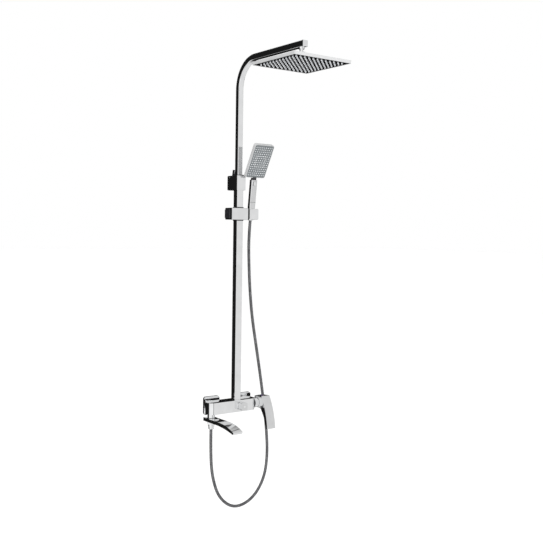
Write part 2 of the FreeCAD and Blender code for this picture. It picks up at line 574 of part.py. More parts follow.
def make_handset():
    """Hand shower: hose nut, grip, neck, spray head, face and nozzle mat."""
    zero = ("0", "0", "0")
    low = -size("cone_length") / 2
    nut = cut("cone_nut", cone("cone_outside", "cone_low", "cone_top", "cone_length", zero),
              rod("cone_way", "hose_radius + 0.4", "90", ("0", "0", "-9")))
    node(seat(nut, low, "handset_lean"), "hose_cone_nut")

    bar = rounded("grip_bar", ("grip_width", "grip_depth", "grip_length"), "grip_corner", zero)
    way = rod("grip_way", "6", "160", ("0", "0", "-9"))
    dimple = box("grip_dimple", ("button_width + 2 * gap", "4", "button_length + 2 * gap"),
                 ("-button_width / 2 - gap", "-grip_depth / 2 - 1", "grip_length - 7 - button_length - gap"))
    grip = cut("grip_cut", bar, way, dimple)
    node(seat(grip, low + size("cone_length") + 0.1, "handset_lean"), "handset_grip")
    rocker = rounded("button_block", ("button_width", "button_length", "2.6"), "1.5",
                     ("0", "-grip_depth / 2 + 1.2", "grip_length - 7 - button_length / 2"),
                     Rotation(Vector(1, 0, 0), 90))
    node(seat(cut("button_cut", rocker, rod("button_groove", "0.4", "30",
                                            ("-15", "-grip_depth / 2 - 1.4", "grip_length - 14.4"), "x")),
              low + size("cone_length") + 0.1, "handset_lean"), "mode_button")

    neck_low = low + size("cone_length") + size("grip_length") + 0.2
    neck_length = size("spray_start") - neck_low + 2
    neck = rounded("neck_bar", ("grip_width - 6", "grip_depth - 7", str(neck_length)), "3", zero)
    neck_cut = cut("neck_cut", neck, rod("neck_way", "4", "160", ("0", "0", "-9")))
    node(seat(neck_cut, neck_low, "handset_lean"), "handset_neck")

    middle = ("0", "spray_thick / 2 - 2", "spray_length / 2")
    upright = Rotation(Vector(1, 0, 0), 90)
    shell = rounded("spray_block", ("spray_width", "spray_length", "spray_thick"), "spray_corner",
                    middle, upright)
    room = rounded("spray_room", ("spray_width - 4", "spray_length - 4", "spray_thick - 2"),
                   "spray_corner - 2", ("0", "spray_thick / 2 - 4", "spray_length / 2"), upright)
    throat = box("spray_throat", ("grip_width - 5", "26", "9"), ("-(grip_width - 5) / 2", "-10", "-2"))
    head = cut("spray_cut", shell, room, throat)
    node(seat(head, size("spray_start"), "spray_lean"), "handset_shell")
    front = "-spray_thick / 2 - 2"
    plate = rounded("spray_plate", ("spray_width - 4.4", "spray_length - 4.4", "2.2"), "spray_corner - 2.2",
                    ("0", front + " + 2.6", "spray_length / 2"), upright)
    columns, rows = 9, 14
    face_y = -size("spray_thick") / 2 - 2
    centre = size("spray_length") / 2
    pegs = Part.makeCompound(grid(1.75, 9, rows, columns, 9, face_y - 3, False))
    peg_holes = solid("spray_peg_holes", pegs.translated(Vector(0, 0, centre)))
    node(seat(cut("spray_plate_cut", plate, peg_holes), size("spray_start"), "spray_lean"), "handset_face")
    across, up = size("spray_width") - 8, size("spray_length") - 12
    mat = Part.makeBox(across, 1.5, up, Vector(-across / 2, face_y + 2.7, -up / 2))
    mat = mat.fuse(grid(1.5, 4.6, rows, columns, 9, face_y - 0.9, False))
    tips = solid("spray_mat", mat)
    tips.Placement = Placement(Vector(0, 0, centre), Rotation())
    node(seat(group("spray_mat_group", tips), size("spray_start"), "spray_lean"), "handset_nozzle_mat")


def make_spout():
    """Neck under the mixer, swivelling bath spout, and the outlet for the hose."""
    place = ("-spout_x", "-riser_gap")
    neck_low = "-spout_top - spout_thick - 9.7"
    tube = rod("neck_tube", "neck_radius", "-4 - (%s)" % neck_low, place + (neck_low,))
    tube_way = rod("neck_way_down", "6", "160", place + ("-120",))
    port = rod("neck_port", "5", "30", ("-spout_x", "-riser_gap - 25", "-spout_top - spout_thick / 2"), "y")
    node(cut("neck_tube_cut", tube, tube_way, port), "spout_neck")
    sleeve = rod("sleeve", "14.5", "spout_top - body_height / 2 - 1.2", place + ("-spout_top + 1.1",))
    sleeve_way = rod("sleeve_way", "neck_radius + 0.1", "60", place + ("-60",))
    node(cut("sleeve_cut", sleeve, sleeve_way), "spout_collar")
    rings = []
    for name, height in (("top", "-spout_top + 0.2"), ("low", "-spout_top - spout_thick - 1")):
        disc = rod("ring_disc_" + name, "14", "0.8", place + (height,))
        eye = rod("ring_eye_" + name, "neck_radius + 0.2", "90", place + ("-90",))
        rings.append(cut("ring_" + name, disc, eye))
    node(group("rings", *rings), "spout_washers")

    nut_top = "-spout_top - spout_thick - 1.1"
    hex_part = hexagon("outlet_hex", "28", "11", place + (nut_top + " - 11",))
    thread = rod("outlet_thread", "9.9", "14", place + (nut_top + " - 24",))
    seat_way = rod("outlet_seat", "neck_radius + 0.1", "60", place + (neck_low + " - 0.1",))
    outlet_way = rod("outlet_way", "6", "90", place + ("-120",))
    node(cut("outlet_cut", fuse("outlet_blank", hex_part, thread), seat_way, outlet_way), "hose_outlet")
    nut = cone("hose_nut_outside", "10.5", "13", "18", place + (nut_top + " - 29.2",))
    nut_thread = rod("hose_nut_thread", "10", "60", place + (nut_top + " - 26.1",))
    nut_way = rod("hose_nut_way", "hose_radius + 0.3", "90", place + ("-130",))
    node(cut("hose_nut_cut", nut, nut_thread, nut_way), "outlet_hose_nut")
    disc = rod("hose_washer_disc", "9.8", "1.8", place + (nut_top + " - 26",))
    node(cut("hose_washer_cut", disc, rod("hose_washer_way", "5", "90", place + ("-130",))), "hose_washer")

    y = -size("riser_gap")
    top = -size("spout_top")
    low = top - size("spout_thick")
    tip = -size("spout_reach")
    left = -size("spout_x") - size("spout_width") / 2
    outline = [(y + 24, top), (y - 88, top), (y - 143, top - 5, tip, top - 20),
               (tip + 4, low - 15), (y - 135, low - 5, y - 78, low), (y + 24, low)]
    slab = prism("spout_slab", outline, left, size("spout_width"))
    bore = rod("spout_bore", "neck_radius + fit", "90", place + ("-110",))
    way = box("spout_way", ("26", "120", "6"), ("-spout_x - 13", "-spout_reach + 63", "-spout_top - 10.5"))
    mouth = box("spout_mouth", ("30", "12", "40"),
                ("-spout_x - 15", "-spout_reach + 27", "-spout_top - 51.7"))
    drop = box("spout_drop", ("26", "34", "5.5"), ("-spout_x - 13", "-spout_reach + 35", "-spout_top - 14.7"))
    node(cut("spout_cut", slab, bore, way, mouth, drop), "spout_body")
    insert = box("insert_block", ("29.4", "11.4", "8"),
                 ("-spout_x - 14.7", "-spout_reach + 27.3", "-spout_top - 20.7"))
    slits = []
    for number in range(5):
        x = "-spout_x - 13.4 + %.1f" % (number * 5.6)
        slits.append(box("insert_slit_%d" % number, ("4.4", "8", "30"),
                         (x, "-spout_reach + 29", "-spout_top - 50")))
    node(cut("insert_cut", insert, *slits), "spout_outlet_insert")


# The hose leaves the nut of the hand shower along the grip, passes to the right of
# the lever, hangs in one wide loop and comes up into the nut under the spout.
ROUTE = [
    (67, -48, 575), (76, -44, 462), (91, -41, 345), (117, -37, 222), (145, -29, 100), (167, -25, -15),
    (181, -28, -130), (185, -31, -235), (167, -34, -330), (106, -37, -404), (16, -40, -424),
    (-60, -46, -368), (-96, -51, -278), (-106, -52, -180),
]


def hose_path():
    """Straight runs joined by tangent arcs through the route of the hose."""
    start = grip_point(-size("cone_length") / 2 + 8)
    leave = grip_point(-size("cone_length") / 2 - 72)
    end = Vector(-size("spout_x"), -size("riser_gap"), -size("spout_top") - size("spout_thick") - 1.1 - 26.3)
    points = [start, leave] + [Vector(*point) for point in ROUTE] + [end]
    edges = []
    here = points[0]
    for before, corner, after in zip(points, points[1:], points[2:]):
        back = (before - corner).normalize()
        ahead = (after - corner).normalize()
        reach = 0.45 * min(before.distanceToPoint(corner), corner.distanceToPoint(after))
        half_turn = (math.pi - back.getAngle(ahead)) / 2
        radius = reach / math.tan(half_turn)
        print("hose bend radius %.0f, turn %.0f degrees" % (radius, math.degrees(2 * half_turn)))
        arc_start = corner + back * reach
        arc_end = corner + ahead * reach
        bisector = (back + ahead).normalize()
        middle = corner + bisector * (radius / math.cos(half_turn) - radius)
        edges.append(Part.LineSegment(here, arc_start).toShape())
        edges.append(Part.Arc(arc_start, middle, arc_end).toShape())
        here = arc_end
    edges.append(Part.LineSegment(here, points[-1]).toShape())
    return Part.Wire(edges)


def make_hose():
    """Shower hose, a plain round tube along its route."""
    path = hose_path()
    radius = size("hose_radius")
    start = path.Edges[0].firstVertex().Point
    ring = Part.Wire(Part.Circle(start, path.Edges[0].tangentAt(0), radius).toShape())
    hose = path.makePipeShell([ring], True, True)
    expected = math.pi * radius ** 2 * path.Length
    print("hose length %.0f, volume ratio %.4f" % (path.Length, hose.Volume / expected))
    node(solid("hose_tube", hose), "hose")


make_inlets()
make_mixer()
make_diverter_knob()
make_lever()
make_riser()
make_lock_lever()
make_upper_arm()
make_ball_seat()
make_rain_head()
make_slider()
make_holder()
make_handset()
make_spout()
make_hose()
doc.recompute()

for item in doc.Objects:
    if "Invalid" in item.State or "Error" in item.State:
        raise RuntimeError("%s did not recompute: %s" % (item.Label, item.State))
os.makedirs("parts", exist_ok=True)
for item in NODES:
    if item.Shape.isNull() or not item.Shape.isValid() or not item.Shape.Solids:
        raise RuntimeError("%s has no sound solid" % item.Label)
    item.Shape.exportStep("parts/%s.step" % item.Label)
print("%d pieces" % len(NODES))
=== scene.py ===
import json
import math

import bmesh
import bpy
from mathutils import Matrix, Vector


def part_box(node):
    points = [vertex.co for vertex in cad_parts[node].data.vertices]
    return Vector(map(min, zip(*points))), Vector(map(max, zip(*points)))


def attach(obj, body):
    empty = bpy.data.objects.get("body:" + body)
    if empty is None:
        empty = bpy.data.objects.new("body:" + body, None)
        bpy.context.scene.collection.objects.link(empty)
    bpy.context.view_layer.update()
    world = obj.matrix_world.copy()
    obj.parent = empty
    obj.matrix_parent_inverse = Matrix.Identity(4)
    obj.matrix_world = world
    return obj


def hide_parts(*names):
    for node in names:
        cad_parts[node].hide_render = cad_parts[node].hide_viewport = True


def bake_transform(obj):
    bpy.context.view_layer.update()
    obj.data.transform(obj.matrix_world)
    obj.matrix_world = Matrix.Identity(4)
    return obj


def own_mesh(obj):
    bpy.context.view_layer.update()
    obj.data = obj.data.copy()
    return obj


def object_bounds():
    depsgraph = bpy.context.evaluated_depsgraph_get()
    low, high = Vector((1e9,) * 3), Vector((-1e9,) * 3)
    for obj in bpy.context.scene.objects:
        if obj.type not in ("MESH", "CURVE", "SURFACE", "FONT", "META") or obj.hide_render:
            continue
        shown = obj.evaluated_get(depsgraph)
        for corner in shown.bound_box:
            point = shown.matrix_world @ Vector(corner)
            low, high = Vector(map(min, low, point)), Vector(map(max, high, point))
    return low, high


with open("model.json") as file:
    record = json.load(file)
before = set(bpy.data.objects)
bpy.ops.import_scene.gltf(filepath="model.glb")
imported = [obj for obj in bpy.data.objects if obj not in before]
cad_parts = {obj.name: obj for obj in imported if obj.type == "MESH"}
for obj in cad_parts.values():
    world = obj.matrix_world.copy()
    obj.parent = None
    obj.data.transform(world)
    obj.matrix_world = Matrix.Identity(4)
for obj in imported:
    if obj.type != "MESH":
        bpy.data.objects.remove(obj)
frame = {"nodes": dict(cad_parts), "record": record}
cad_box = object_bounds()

bl_info = {
    "name": "Shower column",
    "version": (1, 0, 0),
    "blender": (4, 5, 0),
    "location": "3D View > Sidebar > Shower",
    "description": "Finishes, hose and trim of a rainfall shower column around its fixed frame",
    "category": "Object",
}

MM = 0.001

# The hose's route: from the outlet under the spout, through one wide hanging loop
# and past the right of the lever, up into the cone nut of the hand shower.
HOSE_ROUTE = [
    (-0.105, -0.052, -0.0787), (-0.106, -0.052, -0.180), (-0.096, -0.051, -0.278), (-0.060, -0.046, -0.368),
    (0.016, -0.040, -0.424), (0.106, -0.037, -0.404), (0.167, -0.034, -0.330), (0.185, -0.031, -0.235),
    (0.181, -0.028, -0.130), (0.167, -0.025, -0.015), (0.145, -0.029, 0.100), (0.117, -0.037, 0.222),
    (0.091, -0.041, 0.345), (0.076, -0.044, 0.462), (0.067, -0.048, 0.575), (0.062, -0.0523, 0.6642),
    (0.062, -0.0621, 0.7436),
]

# How far the grip and the spray head lean out from upright, in degrees.
GRIP_LEAN = 7
SPRAY_LEAN = 29

# The camera's place, and its yaw, pitch and roll in degrees.
CAMERA_PLACE = (-1.8355, -2.7998, 0.692)
CAMERA_TURN = (36.22, -2.74, 0.825)


# ---------------------------------------------------------------- sizes a user would change

class FinishSettings(bpy.types.PropertyGroup):
    """Colours and gloss of the column's finishes."""
    chrome: bpy.props.FloatVectorProperty(
        name="Chrome", description="Tint of the polished plating", subtype="COLOR",
        default=(0.88, 0.885, 0.89), min=0, max=1)
    face: bpy.props.FloatVectorProperty(
        name="Spray face", description="Satin grey of the hand shower's face", subtype="COLOR",
        default=(0.25, 0.27, 0.28), min=0, max=1)
    black: bpy.props.FloatVectorProperty(
        name="Black plastic", description="Moulded acetal of bushes, rings and buttons", subtype="COLOR",
        default=(0.012, 0.012, 0.014), min=0, max=1)
    gloss: bpy.props.FloatProperty(
        name="Chrome roughness", description="Roughness of clean plating", default=0.035, min=0, max=1)
    edge: bpy.props.FloatProperty(
        name="Edge rounding", description="Apparent rounding of pressed and machined edges",
        default=0.7 * MM, unit="LENGTH")


class HoseSettings(bpy.types.PropertyGroup):
    """The double-lock steel hose."""
    radius: bpy.props.FloatProperty(
        name="Radius", description="Outer radius over the ribs", default=6 * MM, unit="LENGTH")
    pitch: bpy.props.FloatProperty(
        name="Rib pitch", description="Distance from rib to rib", default=4.0 * MM, unit="LENGTH")
    groove: bpy.props.FloatProperty(
        name="Groove depth", description="Depth of the grooves between ribs", default=1.1 * MM, unit="LENGTH")
    sides: bpy.props.IntProperty(name="Sides", description="Points round the hose", default=18, min=8)


class TrimSettings(bpy.types.PropertyGroup):
    """Threads, ribs, marks and rings."""
    thread_pitch: bpy.props.FloatProperty(
        name="Thread pitch", description="Pitch of the half-inch pipe thread",
        default=1.814 * MM, unit="LENGTH")
    thread_wire: bpy.props.FloatProperty(
        name="Thread crest", description="Radius of a thread crest", default=0.62 * MM, unit="LENGTH")
    nut_ribs: bpy.props.IntProperty(name="Nut ribs", description="Grip ribs round the hose nut", default=24)
    frame_side: bpy.props.FloatProperty(
        name="Spray frame", description="Side of the frame round the middle jets",
        default=45 * MM, unit="LENGTH")
    mark_radius: bpy.props.FloatProperty(
        name="Mark radius", description="Radius of the hot and cold mark", default=3.2 * MM, unit="LENGTH")


class StudioSettings(bpy.types.PropertyGroup):
    """Camera, floor and soft lights."""
    lens: bpy.props.FloatProperty(name="Lens", description="Focal length", default=55.5)
    drop: bpy.props.FloatProperty(
        name="Floor drop", description="Floor's distance below the hose", default=0.45, unit="LENGTH")
    floor_glow: bpy.props.FloatProperty(
        name="Floor glow", description="Light the floor gives back on its own", default=0.1, min=0)
    key: bpy.props.FloatProperty(name="Key light", description="Power of the large key light", default=60,
                                 unit="POWER")
    fill: bpy.props.FloatProperty(name="Fill light", description="Power of the fill light", default=25,
                                  unit="POWER")


# ---------------------------------------------------------------- materials

def new_material(name):
    """A material with a Principled shader, its node tree and object coordinates."""
    material = bpy.data.materials.new(name)
    material.use_nodes = True
    nodes = material.node_tree.nodes
    shader = nodes["Principled BSDF"]
    coordinates = nodes.new("ShaderNodeTexCoord")
    return material, nodes, material.node_tree.links, shader, coordinates.outputs["Object"]


def noise(nodes, links, place, scale, detail=4.0, rough=0.55):
    """The strength of a noise texture at a place."""
    texture = nodes.new("ShaderNodeTexNoise")
    texture.inputs["Scale"].default_value = scale
    texture.inputs["Detail"].default_value = detail
    texture.inputs["Roughness"].default_value = rough
    links.new(place, texture.inputs["Vector"])
    return texture.outputs["Fac"]


def remap(nodes, links, value, low, high, to_low, to_high):
    """A value moved from one range to another, and kept inside it."""
    ranger = nodes.new("ShaderNodeMapRange")
    for socket, number in zip(("From Min", "From Max", "To Min", "To Max"), (low, high, to_low, to_high)):
        ranger.inputs[socket].default_value = number
    links.new(value, ranger.inputs["Value"])
    return ranger.outputs["Result"]


def blend_colours(nodes, links, factor, first, second):
    """A colour between two, by a factor from 0 to 1."""
    ramp = nodes.new("ShaderNodeValToRGB")
    ramp.color_ramp.elements[0].color = (*first, 1)
    ramp.color_ramp.elements[1].color = (*second, 1)
    links.new(factor, ramp.inputs["Fac"])
    return ramp.outputs["Color"]


def relief(nodes, links, height, depth, strength, edge=0.0):
    """Fine relief of the surface, over softly rounded edges."""
    bump = nodes.new("ShaderNodeBump")
    bump.inputs["Distance"].default_value = depth
    bump.inputs["Strength"].default_value = strength
    links.new(height, bump.inputs["Height"])
    if edge:
        bevel = nodes.new("ShaderNodeBevel")
        bevel.samples = 6
        bevel.inputs["Radius"].default_value = edge
        links.new(bevel.outputs["Normal"], bump.inputs["Normal"])
    return bump.outputs["Normal"]


def surface(name, light, dark, metallic, rough, patch_scale, grain_scale, grain_depth,
            edge=0.0, strength=0.35, coat=0.0):
    """A finish with blotched colour, uneven gloss and a fine grain."""
    material, nodes, links, shader, place = new_material(name)
    patches = noise(nodes, links, place, patch_scale)
    grain = noise(nodes, links, place, grain_scale, 2.0)
    spread = remap(nodes, links, patches, 0.35, 0.65, 0.0, 1.0)
    links.new(blend_colours(nodes, links, spread, dark, light), shader.inputs["Base Color"])
    links.new(remap(nodes, links, patches, 0.3, 0.7, rough[0], rough[1]), shader.inputs["Roughness"])
    links.new(relief(nodes, links, grain, grain_depth, strength, edge), shader.inputs["Normal"])
    shader.inputs["Metallic"].default_value = metallic
    shader.inputs["Coat Weight"].default_value = coat
    return material


def shade(colour, factor):
    """A colour made darker or lighter by a factor."""
    return tuple(channel * factor for channel in colour)


def brushed(name, light, dark, rough, edge):
    """Brushed metal, its fine lines stretched along Z."""
    material, nodes, links, shader, place = new_material(name)
    mapping = nodes.new("ShaderNodeMapping")
    mapping.inputs["Scale"].default_value = (900, 900, 25)
    links.new(place, mapping.inputs["Vector"])
    lines = noise(nodes, links, mapping.outputs["Vector"], 1.0, 3.0)
    links.new(blend_colours(nodes, links, lines, dark, light), shader.inputs["Base Color"])
    links.new(remap(nodes, links, lines, 0.3, 0.7, rough[0], rough[1]), shader.inputs["Roughness"])
    links.new(relief(nodes, links, lines, 0.05 * MM, 0.4, edge), shader.inputs["Normal"])
    shader.inputs["Metallic"].default_value = 1.0
    return material


def flecked(name, light, dark, edge):
    """Satin lacquer with fine metal flakes."""
    material, nodes, links, shader, place = new_material(name)
    flakes = nodes.new("ShaderNodeTexVoronoi")
    flakes.inputs["Scale"].default_value = 1400
    links.new(place, flakes.inputs["Vector"])
    sparkle = remap(nodes, links, flakes.outputs["Distance"], 0.0, 0.8, 0.0, 1.0)
    links.new(blend_colours(nodes, links, sparkle, light, dark), shader.inputs["Base Color"])
    links.new(remap(nodes, links, sparkle, 0.0, 1.0, 0.22, 0.38), shader.inputs["Roughness"])
    links.new(relief(nodes, links, sparkle, 0.03 * MM, 0.3, edge), shader.inputs["Normal"])
    shader.inputs["Metallic"].default_value = 0.75
    return material


def make_finishes(settings):
    """Every finish of the column, by its slot's name or by its own."""
    chrome = tuple(settings.chrome)
    edge = settings.edge
    finishes = {}
    finishes["chrome"] = surface(
        "polished_chrome", chrome, shade(chrome, 0.93), 1.0, (settings.gloss, settings.gloss + 0.05),
        22, 60, 0.01 * MM, 0.0, 0.04, coat=0.1)
    finishes["satin_chrome"] = surface(
        "satin_chrome", shade(chrome, 0.60), shade(chrome, 0.55), 0.1, (0.16, 0.24),
        30, 900, 0.01 * MM, edge, 0.1)
    # A darker, rougher copy of the chrome: painted shade on the pieces a hand holds.
    finishes["painted_shade_chrome"] = surface(
        "painted_shade_chrome", shade(chrome, 0.86), shade(chrome, 0.80), 1.0, (0.06, 0.12),
        26, 60, 0.01 * MM, 0.0, 0.04)
    finishes["hose_steel"] = surface(
        "hose_rib_steel", (0.34, 0.34, 0.35), (0.20, 0.20, 0.21), 1.0, (0.10, 0.22), 60, 900, 0.03 * MM)
    # The grooves between the hose's ribs are coloured near black: painted shade in the creases.
    finishes["hose_groove"] = surface(
        "hose_groove_painted_shade", (0.06, 0.06, 0.065), (0.02, 0.02, 0.022), 0.8, (0.35, 0.55), 80, 900, 0.03 * MM)
    finishes["mirror_plate"] = surface(
        "mirror_face_plate", (0.46, 0.47, 0.49), (0.38, 0.39, 0.41), 1.0, (0.03, 0.09), 14, 300, 0.02 * MM)
    finishes["brass"] = surface(
        "machined_brass", (0.40, 0.25, 0.14), (0.22, 0.12, 0.07), 1.0, (0.18, 0.42),
        120, 900, 0.05 * MM, edge)
    finishes["steel"] = brushed("bright_steel", (0.62, 0.62, 0.63), (0.46, 0.46, 0.47), (0.18, 0.34), edge)
    black = tuple(settings.black)
    finishes["black_plastic"] = surface(
        "moulded_black_acetal", shade(black, 1.8), black, 0.0, (0.22, 0.36), 90, 2600, 0.04 * MM, edge)
    face = tuple(settings.face)
    finishes["grey_face"] = flecked("satin_grey_face", shade(face, 1.25), shade(face, 0.8), edge)
    finishes["silicone"] = surface(
        "white_silicone", (0.90, 0.91, 0.92), (0.78, 0.80, 0.82), 0.0, (0.35, 0.5),
        70, 1800, 0.03 * MM, 0.3 * MM)
    finishes["rubber"] = surface(
        "seal_rubber", (0.05, 0.05, 0.05), (0.022, 0.022, 0.022), 0.0, (0.5, 0.7), 90, 1500, 0.06 * MM, edge)
    return finishes


def finish_named(name):
    """A finish that the finishes operator has made."""
    return bpy.data.materials[name]


# Pieces whose finish isn't that of their slot: the shells of both heads are satin,
# the hose nut is plated, and the pieces that a hand holds get a darker copy of the chrome as painted shade.
OWN_FINISH = {
    "rain_head_shell": "satin_chrome", "handset_shell": "satin_chrome", "outlet_hose_nut": "chrome",
    "diverter_knob": "painted_shade_chrome", "lever_handle": "painted_shade_chrome", "handset_grip": "painted_shade_chrome",
}


class SHOWER_OT_finishes(bpy.types.Operator):
    """Give every fixed piece its finish"""
    bl_idname = "shower.finishes"
    bl_label = "Finishes"

    def execute(self, context):
        finishes = make_finishes(context.scene.shower_finish)
        slots = {entry["node"]: entry["material_slot"] for entry in frame["record"]["subparts"]}
        for name, item in frame["nodes"].items():
            material = finishes[OWN_FINISH.get(name, slots[name])]
            if item.material_slots:
                for place in item.material_slots:
                    place.material = material
            else:
                item.data.materials.append(material)
        return {"FINISHED"}


# ---------------------------------------------------------------- meshes

def add_piece(name, mesh, body, slot, *materials):
    """Puts a mesh in the scene as a piece that rides on a body, or on none yet."""
    piece = bpy.data.objects.new(name, mesh)
    bpy.context.scene.collection.objects.link(piece)
    for material in materials:
        mesh.materials.append(finish_named(material))
    if body:
        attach(piece, body)
    return piece


def smooth_points(name, route):
    """Closely spaced points of the smooth line that a route controls."""
    curve = bpy.data.curves.new(name, "CURVE")
    curve.dimensions = "3D"
    curve.resolution_u = 40
    spline = curve.splines.new("NURBS")
    spline.points.add(len(route) - 1)
    for point, place in zip(spline.points, route):
        point.co = (*place, 1)
    spline.order_u = 3
    spline.use_endpoint_u = True
    carrier = bpy.data.objects.new(name, curve)
    bpy.context.scene.collection.objects.link(carrier)
    bpy.context.view_layer.update()
    line = bpy.data.meshes.new_from_object(carrier.evaluated_get(bpy.context.evaluated_depsgraph_get()))
    points = [vertex.co.copy() for vertex in line.vertices]
    bpy.data.objects.remove(carrier)
    bpy.data.curves.remove(curve)
    bpy.data.meshes.remove(line)
    return points


def walk(points, step):
    """Places at an even step along a line of points, each with its direction."""
    places = []
    travelled = 0.0
    goal = 0.0
    for here, there in zip(points, points[1:]):
        length = (there - here).length
        if length < 1e-9:
            continue
        direction = (there - here) / length
        while goal <= travelled + length:
            places.append((here + direction * (goal - travelled), direction))
            goal += step
        travelled += length
    return places


def ringed_tube(name, places, radii, sides, groove_shade_below=None):
    """A closed tube through the places with a radius at each, grooves in a second material that paints shade
    into them.
    """
    mesh = bpy.data.meshes.new(name)
    shape = bmesh.new()
    side = places[0][1].orthogonal().normalized()
    rings = []
    for (centre, direction), radius in zip(places, radii):
        side = (side - direction * side.dot(direction)).normalized()
        other = direction.cross(side)
        ring = []
        for number in range(sides):
            turn = 2 * math.pi * number / sides
            ring.append(shape.verts.new(centre + (side * math.cos(turn) + other * math.sin(turn)) * radius))
        rings.append(ring)
    for ring, after, radius, next_radius in zip(rings, rings[1:], radii, radii[1:]):
        for number in range(sides):
            follower = (number + 1) % sides
            face = shape.faces.new((ring[number], ring[follower], after[follower], after[number]))
            face.smooth = True
            # Faces down in the grooves take the second material, the painted shade.
            if groove_shade_below and (radius + next_radius) / 2 < groove_shade_below:
                face.material_index = 1
    shape.faces.new(rings[0][::-1])
    shape.faces.new(rings[-1])
    shape.to_mesh(mesh)
    shape.free()
    return mesh


def helix_points(centre, axis, radius, pitch, length, per_turn=24):
    """Points of a helix about an axis from a centre."""
    axis = Vector(axis).normalized()
    side = axis.orthogonal().normalized()
    other = axis.cross(side)
    count = int(per_turn * length / pitch)
    points = []
    for number in range(count + 1):
        turn = 2 * math.pi * number / per_turn
        points.append(Vector(centre) + axis * (pitch * number / per_turn)
                      + (side * math.cos(turn) + other * math.sin(turn)) * radius)
    return points


def swept(name, points, radius, sides):
    """A plain round tube through points."""
    places = []
    for number, point in enumerate(points):
        before = points[max(number - 1, 0)]
        after = points[min(number + 1, len(points) - 1)]
        places.append((point, (after - before).normalized()))
    return ringed_tube(name, places, [radius] * len(places), sides)


def loop_band(name, outlines, loops_closed=True):
    """A closed band whose section runs through like outlines, each a ring of points."""
    mesh = bpy.data.meshes.new(name)
    shape = bmesh.new()
    rings = [[shape.verts.new(point) for point in outline] for outline in outlines]
    pairs = list(zip(rings, rings[1:]))
    if loops_closed:
        pairs.append((rings[-1], rings[0]))
    for ring, after in pairs:
        for number in range(len(ring)):
            follower = (number + 1) % len(ring)
            shape.faces.new((ring[number], ring[follower], after[follower], after[number]))
    if not loops_closed:
        shape.faces.new(rings[0][::-1])
        shape.faces.new(rings[-1])
    bmesh.ops.recalc_face_normals(shape, faces=shape.faces)
    shape.to_mesh(mesh)
    shape.free()
    return mesh


def rounded_outline(width, depth, corner, height, steps=5):
    """A rounded rectangle about the Z axis, at a height."""
    points = []
    for number, (sign_x, sign_y) in enumerate(((1, 1), (-1, 1), (-1, -1), (1, -1))):
        centre = Vector((sign_x * (width / 2 - corner), sign_y * (depth / 2 - corner), height))
        for step in range(steps + 1):
            turn = math.pi / 2 * (number + step / steps)
            points.append(centre + Vector((math.cos(turn), math.sin(turn), 0)) * corner)
    return points


def middle_of(name):
    """The middle of a node's box."""
    low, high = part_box(name)
    return (Vector(low) + Vector(high)) / 2


# ---------------------------------------------------------------- pieces

class SHOWER_OT_hose(bpy.types.Operator):
    """Make the ribbed steel hose along its route"""
    bl_idname = "shower.hose"
    bl_label = "Hose"

    def execute(self, context):
        settings = context.scene.shower_hose
        points = smooth_points("hose_route", HOSE_ROUTE)
        crest, root = settings.radius, settings.radius - settings.groove
        shoulder = crest - 0.15 * MM
        profile = (shoulder, crest, crest, shoulder, root)
        places = walk(points, settings.pitch / len(profile))
        radii = [profile[number % len(profile)] for number in range(len(places))]
        mesh = ringed_tube("shower_hose", places, radii, settings.sides, (crest + root) / 2 + 0.1 * MM)
        hose = add_piece("shower_hose", mesh, None, "hose_steel", "hose_rib_steel", "hose_groove_painted_shade")
        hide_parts("hose")
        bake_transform(hose)
        return {"FINISHED"}


class SHOWER_OT_threads(bpy.types.Operator):
    """Lay the crests of the pipe threads round the wall studs"""
    bl_idname = "shower.threads"
    bl_label = "Wall threads"

    def execute(self, context):
        settings = context.scene.shower_trim
        low, high = (Vector(corner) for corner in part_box("wall_unions"))
        collar = 12.5 * MM
        stud = 10.45 * MM
        radius = stud - 0.35 * MM
        first, length = 1.2 * MM, high.y - 2.6 * MM
        for name, x in (("left", low.x + collar), ("right", high.x - collar)):
            points = helix_points((x, first, 0), (0, 1, 0), radius, settings.thread_pitch, length)
            mesh = swept("union_thread_" + name, points, settings.thread_wire, 6)
            add_piece("union_thread_" + name, mesh, "root", "brass", "machined_brass")
        return {"FINISHED"}


class SHOWER_OT_spring(bpy.types.Operator):
    """Wind the coil spring behind the thumb button"""
    bl_idname = "shower.spring"
    bl_label = "Button spring"

    def execute(self, context):
        low, high = (Vector(corner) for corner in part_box("button_spring"))
        wire = 0.45 * MM
        radius = (high.y - low.y) / 2 - wire
        start = Vector((low.x + wire, (low.y + high.y) / 2, (low.z + high.z) / 2))
        pitch = 1.3 * MM
        points = helix_points(start, (1, 0, 0), radius, pitch, high.x - low.x - 2 * wire, 20)
        mesh = swept("coil_spring", points, wire, 8)
        spring = add_piece("coil_spring", mesh, "slider", "steel", "bright_steel")
        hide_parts("button_spring")
        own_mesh(spring)
        return {"FINISHED"}


